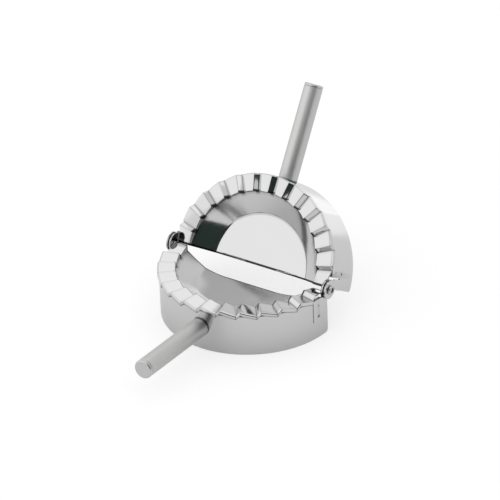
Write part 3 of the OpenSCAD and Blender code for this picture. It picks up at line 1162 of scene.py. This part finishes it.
    def rolled(self, net: np.ndarray) -> np.ndarray:
        """Rolls the flat blank round the jaw.

        Args:
            net: Points as length and height.

        Returns:
            Points of the outer face, in the jaw's frame.
        """
        radius = self.sheets.skirt_r
        s, z = net[:, 0], net[:, 1]
        left = s < self.length / 2
        near = np.where(left, s, self.length - s)
        on_tab = near < self.tab_w + self.slit_w / 2
        raised = smoothstep((z + self.slit_depth) / self.joggle_h) * on_tab
        bulge = radius * (1 - math.cos(self.flat_w / radius))
        off = raised * (self.step + bulge * (1 - smoothstep((near - self.flat_w) / self.flat_fade)))
        for centre in self._weld_centres():
            away = np.hypot(s - centre[0], z - centre[1]) / self.weld_r
            off = off - self.weld_dimple * (1 - smoothstep((away - self.weld_flat) / (1 - self.weld_flat)))
        angle = np.clip(near / radius, 0, None)
        x = (radius + off) * np.cos(angle)
        y = (radius + off) * np.sin(angle)
        flat = near < self.flat_w
        flat_x = radius + self.step * raised
        x = np.where(flat, raised * flat_x + (1 - raised) * x, x)
        y = np.where(flat, raised * near + (1 - raised) * y, y)
        return np.stack([np.where(left, -x, x), -y, z], 1)

    def _mark(self, piece: Piece) -> None:
        """Stores how dark each point is.

        Args:
            piece: The skirt in the jaw's frame, dark at the spot welds' burnt middles, and with painted shade
                on the inside of its ears.
        """
        centres = self.rolled(np.array(self._weld_centres())) * MM
        points = np.array([v.co for v in piece.data.vertices])
        away = np.linalg.norm(points[:, None] - centres[None], axis=2) / (self.weld_r * MM)
        fade = np.clip(self.burn_middle - self.burn_fall * away, 0.0, 1.0)
        burnt = (fade * np.tile(self.weld_burns, 2)).max(1)
        # Painted shade on the inner face near the ears, above a given height.
        x, y, z = (points / MM).T
        inside = np.hypot(x, y) < self.sheets.skirt_r + self.step - self.sheets.skirt_t / 2
        near = self.sheets.skirt_r * np.arctan2(-y, np.abs(x))
        fade = np.clip((self.ear_dark_w - near) / self.ear_dark_fade, 0.0, 1.0)
        store(piece, SHADE_AND_BURN, np.maximum(burnt, inside * fade * (z > self.ear_dark_low)))

    def build(self, effects: SteelEffects) -> Piece:
        """Cuts, rolls, thickens, dresses and seats the skirt.

        Args:
            effects: The shared node groups.

        Returns:
            The finished piece.
        """
        place = self.jaw.place()
        net, faces = self.flat_net()
        piece = mesh_object(f"skirt_{self.jaw.word}", self.rolled(net) * MM, faces)
        solid = piece.modifiers.new("thickness", "SOLIDIFY")
        solid.thickness = self.sheets.skirt_t * MM
        solid.offset = -1.0
        solid.use_even_offset = True
        soft = piece.modifiers.new("soft_edges", "BEVEL")
        soft.width = self.edge_soft * MM
        soft.segments = self.edge_steps
        soft.limit_method = "ANGLE"
        soft.angle_limit = math.radians(self.edge_deg)
        settle(piece)
        self._mark(piece)
        close_up(piece, place, self.crease_deg)
        dress(piece, SKIRT_FINISH, effects, place)
        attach(piece, self.jaw.value)
        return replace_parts(piece, f"{self.jaw.word}_skirt")


def revolved(profile: list[Point2], around: int) -> tuple[np.ndarray, Faces]:
    """Turns a profile about the Z axis.

    Args:
        profile: Points as radius and height; the first and the last lie on the axis.
        around: Number of steps round.

    Returns:
        Points and faces of the closed shape.
    """
    ring = [(math.cos(a), math.sin(a)) for a in np.linspace(0, 2 * math.pi, around, endpoint=False)]
    points = [(0.0, 0.0, profile[0][1])]
    points += [(r * c, r * s, z) for r, z in profile[1:-1] for c, s in ring]
    points.append((0.0, 0.0, profile[-1][1]))
    end = len(points) - 1
    last = end - around
    faces = [f for a in range(1, last, around) for f in ring_faces(a, a + around, around)]
    for i in range(around):
        j = (i + 1) % around
        faces += [[0, 1 + j, 1 + i], [last + i, last + j, end]]
    return np.array(points), faces


@dataclass(frozen=True)
class Handle:
    """A jaw's handle: a tube on the skirt, its end cap, and what fastens it from inside, in millimetres."""

    jaw: Jaw
    drop: float
    tilt_deg: float
    tip: float = 103.0
    sheets: Sheets = Sheets()
    tube_r: float = 5.25
    tube_t: float = 1.0
    tube_steps: int = 12
    cap_t: float = 1.6
    cap_edge: float = 0.8
    cap_steps: int = 8
    spigot_l: float = 10.0
    spigot_soft: float = 0.5
    plug_gap: float = 0.03
    plug_line: float = 0.05
    groove: float = 0.28
    root_soft: float = 0.15
    seam_w: float = 0.75
    seam_fade: float = 0.25
    # Painted shade of the first rings at the tube's root, where it meets the skirt.
    seam_dark: Point3 = (1.0, 1.0, 0.9)
    end_l: float = 1.0
    support: float = 0.3
    around: int = 96
    crease_deg: float = 32.0

    def place(self) -> Matrix:
        """Finds where the handle's frame lies.

        Returns:
            Its place. Its Z runs out of the skirt, along the tube, whose root is at the drop.
        """
        rise = self.sheets.skirt_r * math.tan(math.radians(self.tilt_deg))
        lower = Matrix.Translation((0, 0, -(self.drop + rise) * MM))
        return self.jaw.place() @ lower @ Matrix.Rotation(math.radians(90 - self.tilt_deg), 4, "X")

    def _root(self, x: np.ndarray, y: np.ndarray) -> np.ndarray:
        """Where lines along the tube meet the skirt.

        Args:
            x: Places of the lines along the tube frame's X.
            y: Places along its Y.

        Returns:
            Their heights along the tube's axis.
        """
        seat = self.sheets.skirt_r + self.sheets.weld_gap
        tilt = math.radians(self.tilt_deg)
        return (np.sqrt(seat * seat - x * x) + y * math.sin(tilt)) / math.cos(tilt)

    def tube(self) -> Piece:
        """Makes the tube's mesh, with its root cut to the skirt and a groove's half at the cap.

        Returns:
            The tube in the handle's frame.
        """
        angle = np.linspace(0, 2 * math.pi, self.around, endpoint=False)
        end = self.tip - self.cap_t
        bore = self.tube_r - self.tube_t

        def ring(radius: float, height: float | None) -> np.ndarray:
            """Sets out one ring of the tube.

            Args:
                radius: Radius of the ring.
                height: Its height, or None for a ring on the skirt.

            Returns:
                Its points.
            """
            x, y = radius * np.cos(angle), radius * np.sin(angle)
            z = self._root(x, y) if height is None else np.full(self.around, height)
            return np.stack([x, y, z], 1)

        start = self._root(np.array([0.0]), np.array([0.0]))[0] + self.end_l
        rings = [ring(self.tube_r - self.root_soft, None), *(ring(self.tube_r, None) for _ in range(3))]
        for row, up in zip(rings[1:], (self.root_soft, self.seam_w, self.seam_w + self.seam_fade)):
            row[:, 2] += up
        heights = np.linspace(start, end - self.groove - self.support, self.tube_steps)
        rings += [ring(self.tube_r, h) for h in (*heights, end - self.groove)]
        rings += [ring(self.tube_r - self.groove, end)]
        rings += [ring(bore, h) for h in (end, end - self.end_l, start, None)]
        starts = [k * self.around for k in range(len(rings))]
        pairs = zip(starts, starts[1:] + starts[:1])
        faces = [f for a, b in pairs for f in ring_faces(a, b, self.around)]
        made = mesh_object(f"handle_tube_{self.jaw.word}", np.concatenate(rings) * MM, faces)
        # The root rings carry a painted shade where the tube meets the skirt.
        plain = len(rings) - len(self.seam_dark)
        store(made, SHADE_AND_BURN, np.repeat([*self.seam_dark, *[0.0] * plain], self.around))
        return made

    def cap(self) -> Piece:
        """Makes the cap's mesh, with its spigot in the tube.

        Returns:
            The cap in the handle's frame.
        """
        plug = self.tube_r - self.tube_t - self.plug_gap
        base = self.tip - self.cap_t
        low = base - self.spigot_l
        edge, soft = self.cap_edge, self.spigot_soft
        profile = [(0.0, low), (plug - soft, low), (plug, low + soft), (plug, base - self.plug_line)]
        profile += [(plug, base), (self.tube_r - self.groove, base), (self.tube_r, base + self.groove)]
        profile += arc((self.tube_r - edge, self.tip - edge), edge, 0, 90, self.cap_steps)
        profile += [(r, self.tip) for r in (self.tube_r - edge - self.support, self.tube_r / 2, 0.0)]
        points, faces = revolved(profile, self.around)
        return mesh_object(f"handle_cap_{self.jaw.word}", points * MM, faces)

    def build(self, effects: SteelEffects) -> list[Piece]:
        """Builds, dresses and seats the tube and the cap, and dresses the fastening.

        Args:
            effects: The shared node groups.

        Returns:
            The new pieces.
        """
        place = self.place()
        made = []
        for piece, finish, part in ((self.tube(), TUBE_FINISH, "tube"), (self.cap(), CAP_FINISH, "cap")):
            close_up(piece, place, self.crease_deg)
            dress(piece, finish, effects, place)
            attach(piece, self.jaw.value)
            made.append(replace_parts(piece, f"{self.jaw.word}_handle_{part}"))
        for part, finish in (("insert", PLAIN_FINISH), ("washer", PLAIN_FINISH), ("screw", SCREW_FINISH)):
            dress(frame["nodes"][f"{self.jaw.word}_handle_{part}"], finish, effects, place)
        return made


@dataclass(frozen=True)
class Hinge:
    """The two rivets that join the jaws, on the hinge axis, in millimetres."""

    sheets: Sheets = Sheets()
    rivet_r: float = 1.5
    head_r: float = 2.7
    head_h: float = 1.3
    head_gap: float = 0.1
    head_steps: int = 12
    neck_soft: float = 0.1
    dimple_r: float = 1.1
    dimple_h: float = 0.6
    dimple_bow: float = 0.97
    dimple_lip: float = 0.2
    sink_h: float = 0.5
    sink_soft: float = 0.08
    sink_edge: float = 0.2
    # Painted shade ring round the dimple in each rivet head.
    dark_middle: float = 1.5
    dark_w: float = 0.3
    around: int = 64
    crease_deg: float = 32.0

    def _profile(self) -> list[Point2]:
        """Profile of a rivet from its head to its spread end.

        Returns:
            Points as radius and distance from the jaw's middle.
        """
        under = self.sheets.skirt_r + self.sheets.rear_step + self.head_gap
        inside = self.sheets.skirt_r - self.sheets.skirt_t
        top = under + self.head_h
        round_r = self.head_h / 2
        lip, neck, spread = self.dimple_lip, self.neck_soft, self.rivet_r + self.sink_h
        points = [(0.0, top - self.dimple_h), (0.5 * self.dimple_r, top - self.dimple_bow * self.dimple_h)]
        points += arc((self.dimple_r, top - self.dimple_h + lip), lip, -90, 0, 3)
        points += arc((self.dimple_r + 2 * lip, top - lip), lip, 180, 90, 4)
        points += arc((self.head_r - round_r, top - round_r), round_r, 90, -90, self.head_steps)
        points += [(self.rivet_r + neck, under), (self.rivet_r, under - neck)]
        points += [(self.rivet_r, inside + self.sink_h), (spread - self.sink_soft, inside + self.sink_soft)]
        return [*points, (spread - self.sink_edge, inside), (0.0, inside)]

    @staticmethod
    def pair_tree() -> Tree:
        """Builds the tree that sets a shape made for one side at both sides of the jaw.

        Returns:
            The tree, which turns the second one half a turn about Z.
        """
        inputs = {"Shape": GEOMETRY, "Copies": COUNT, "Turn": FLOAT, "Finish": MATERIAL}
        sketch, given, out = new_group("pair_of_rivets", GEOMETRY_TREE, inputs, {"Pair": GEOMETRY})
        spots = sketch.result("GeometryNodePoints", {"Count": given["Copies"]})
        turn = sketch.math("MULTIPLY", sketch.result("GeometryNodeInputIndex", {}), given["Turn"])
        turned = sketch.result("ShaderNodeCombineXYZ", {2: turn})
        feeds = {"Points": spots, "Instance": given["Shape"], "Rotation": turned}
        copies = sketch.result("GeometryNodeInstanceOnPoints", feeds)
        sketch.feed(out["Pair"], sketch.dressed(copies, given["Finish"]))
        return sketch.tree

    def build(self, effects: SteelEffects) -> Piece:
        """Builds, dresses and seats the rivets.

        Args:
            effects: The shared node groups.

        Returns:
            The finished piece.
        """
        place = Jaw.FRONT.place()
        upright = Matrix.Rotation(math.pi / 2, 4, "Y")
        points, faces = revolved(self._profile(), self.around)
        piece = mesh_object("rivets", points * MM, faces)
        piece.data.transform(upright)
        run_tree(piece, self.pair_tree(), {"Copies": 2, "Turn": math.pi})
        # Painted shade ring round each head's dimple.
        points = np.array([v.co for v in piece.data.vertices])
        away = np.abs(np.hypot(points[:, 1], points[:, 2]) / MM - self.dimple_r)
        store(piece, SHADE_AND_BURN, np.clip(self.dark_middle - away / self.dark_w, 0.0, 1.0))
        close_up(piece, place, self.crease_deg)
        dress(piece, RIVET_FINISH, effects, place @ upright)
        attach(piece, Jaw.FRONT.value)
        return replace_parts(piece, "hinge_rivets")


@dataclass(frozen=True)
class Softbox:
    """A rectangular studio lamp."""

    name: str
    place: Point3
    aim: Point3
    width: float
    height: float
    radiance: float

    def build(self) -> Piece:
        """Hangs the lamp.

        Returns:
            The lamp's object.
        """
        lamp = bpy.data.lights.new(self.name, "AREA")
        lamp.shape = "RECTANGLE"
        lamp.size = self.width
        lamp.size_y = self.height
        lamp.energy = math.pi * self.width * self.height * self.radiance
        made = link_object(self.name, lamp)
        made.location = self.place
        away = Vector(self.aim) - Vector(self.place)
        made.rotation_euler = away.to_track_quat("-Z", "Y").to_euler()
        made.visible_camera = False
        return made


@dataclass(frozen=True)
class DarkCard:
    """A black card that the polished steel mirrors, and that neither the camera nor the light sees."""

    name: str
    place: Point3
    aim: Point3
    width: float
    height: float
    tone: float = 0.012
    tint: Point3 = (1.0, 1.4, 1.25)

    def build(self) -> Piece:
        """Stands the card up.

        Returns:
            The card.
        """
        made = rectangle(self.name, self.width, self.height)
        away = Vector(self.aim) - Vector(self.place)
        made.matrix_world = Matrix.Translation(self.place) @ away.to_track_quat("Z", "Y").to_matrix().to_4x4()
        black, shader = matte(self.name)
        shader.inputs["Base Color"].default_value = (*(self.tone * tint for tint in self.tint), 1)
        made.data.materials.append(black)
        made.visible_camera = False
        made.visible_diffuse = False
        made.visible_shadow = False
        return made


@dataclass(frozen=True)
class Studio:
    """Floor, backdrop and lamps."""

    floor_half: float = 5.0
    floor_shade: float = 0.42
    floor_glow: float = 0.64
    floor_pale: float = 0.90
    sky: float = 0.78
    middle: Point3 = (0.0, 0.04, 0.05)
    rear_skirt: Point3 = (0.02, 0.09, 0.055)

    @staticmethod
    def _seen(sketch: Sketch) -> Socket:
        """1 for rays that show the background, and 0 for rays that light the object or that it mirrors."""
        path = sketch.node("ShaderNodeLightPath")
        return sketch.math("MAXIMUM", path.outputs["Is Camera Ray"], path.outputs["Is Transmission Ray"])

    def floor(self) -> Piece:
        """Lays the pale floor, which keeps the object's shadow.

        Returns:
            The floor.
        """
        made = rectangle("floor", 2 * self.floor_half, 2 * self.floor_half)
        pale, shader = matte("pale_floor")
        sketch = Sketch(pale.node_tree)
        seen = self._seen(sketch)
        shade = sketch.math("MULTIPLY_ADD", seen, self.floor_shade - self.floor_pale, self.floor_pale)
        colour = sketch.result("ShaderNodeCombineColor", {0: shade, 1: shade, 2: shade})
        sketch.feed(shader.inputs["Base Color"], colour)
        shader.inputs["Emission Color"].default_value = (1, 1, 1, 1)
        sketch.feed(shader.inputs["Emission Strength"], sketch.math("MULTIPLY", seen, self.floor_glow))
        made.data.materials.append(pale)
        return made

    def backdrop(self) -> None:
        """Makes the world: white where the camera sees it, and a plain pale light elsewhere."""
        world = bpy.data.worlds.new("studio")
        world.use_nodes = True
        bpy.context.scene.world = world
        sketch = Sketch(world.node_tree)
        background = world.node_tree.nodes["Background"]
        background.inputs["Color"].default_value = (1, 1, 1, 1)
        strength = sketch.math("MULTIPLY_ADD", self._seen(sketch), 1.0 - self.sky, self.sky)
        sketch.feed(background.inputs["Strength"], strength)

    def lamps(self) -> None:
        """Hangs the softboxes and stands up the dark card."""
        middle, rear = self.middle, self.rear_skirt
        Softbox("left_softbox", (-0.50, -0.53, 0.36), middle, 1.9, 0.90, radiance=0.35).build()
        Softbox("top_softbox", (-0.30, 0.56, 1.09), middle, 0.78, 0.78, radiance=0.37).build()
        Softbox("right_softbox", (0.67, -0.03, 1.05), middle, 0.64, 0.64, radiance=0.40).build()
        Softbox("low_softbox", (-0.09, 0.40, 0.06), rear, 0.20, 0.12, radiance=0.5).build()
        Softbox("low_wing", (0.06, 0.42, 0.06), rear, 0.12, 0.12, radiance=0.35).build()
        DarkCard("front_card", (0.24, -0.225, 0.17), middle, 0.59, 0.36, tone=0.034).build()

    def build(self) -> None:
        """Sets up the whole studio and the plain view transform."""
        self.floor()
        self.backdrop()
        self.lamps()
        view = bpy.context.scene.view_settings
        view.view_transform = "Standard"


@dataclass(frozen=True)
class Lens:
    """The camera, placed from the hinge's middle in units of the rim's radius."""

    azimuth_deg: float = 34.135
    elevation_deg: float = 30.998
    roll_deg: float = -2.175
    right: float = 0.0024
    up: float = 0.1614
    distance: float = 40.526
    focal_px: float = 3766.98
    frame_px: float = 500.0
    sensor_mm: float = 36.0
    clip_end_m: float = 50.0

    def build(self) -> Piece:
        """Places the camera and makes it the scene's own.

        Returns:
            The camera's object.
        """
        unit = Sheets().rim_r * MM
        az, el, roll = (math.radians(v) for v in (self.azimuth_deg, self.elevation_deg, self.roll_deg))
        back = Vector((math.sin(az) * math.cos(el), -math.cos(az) * math.cos(el), math.sin(el)))
        level = Vector((math.cos(az), math.sin(az), 0))
        upright = back.cross(level)
        right = math.cos(roll) * level + math.sin(roll) * upright
        up = math.cos(roll) * upright - math.sin(roll) * level
        hinge = Vector(frame["joints"][0]["pos_m"])
        eye = hinge + unit * (self.right * right + self.up * up + self.distance * back)
        camera = bpy.data.cameras.new("photo_view")
        camera.sensor_width = self.sensor_mm
        camera.lens = self.focal_px * self.sensor_mm / self.frame_px
        camera.clip_end = self.clip_end_m
        made = link_object("photo_view", camera)
        made.matrix_world = Matrix.Translation(eye) @ Matrix((right, up, back)).transposed().to_4x4()
        bpy.context.scene.camera = made
        return made


def main() -> None:
    """Builds the mold round the frame, and the studio."""
    logging.basicConfig(level=logging.INFO, format="%(name)s: %(message)s")
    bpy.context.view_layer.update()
    Lens().build()
    Studio().build()
    effects = SteelEffects()
    press = Die.press_tree(RimMarks())
    step = Sheets().rear_step
    front = (
        Die(Jaw.FRONT),
        Skirt(Jaw.FRONT, step=0.0, tab_w=11.7, slit_depth=15.3, weld_in=7.9, drop=12.4),
        Handle(Jaw.FRONT, drop=12.4, tilt_deg=3.0),
    )
    rear = (
        Die(Jaw.REAR, burr_w=1.15, bowl_haze=0.05, wall_haze=0.18),
        Skirt(Jaw.REAR, step=step, tab_w=5.9, slit_depth=11.9, weld_in=9.0, drop=15.3),
        Handle(Jaw.REAR, drop=15.3, tilt_deg=0.0),
    )
    for die, skirt, handle in (front, rear):
        for piece in (die.build(press, effects), skirt.build(effects), *handle.build(effects)):
            LOG.info("%s: %d faces", piece.name, len(piece.data.polygons))
        for side in ("left", "right"):
            node = frame["nodes"][f"{die.jaw.word}_weld_plate_{side}"]
            dress(node, PLAIN_FINISH, effects, die.jaw.place())
    rivets = Hinge().build(effects)
    LOG.info("%s: %d faces", rivets.name, len(rivets.data.polygons))


if __name__ == "__main__":
    main()
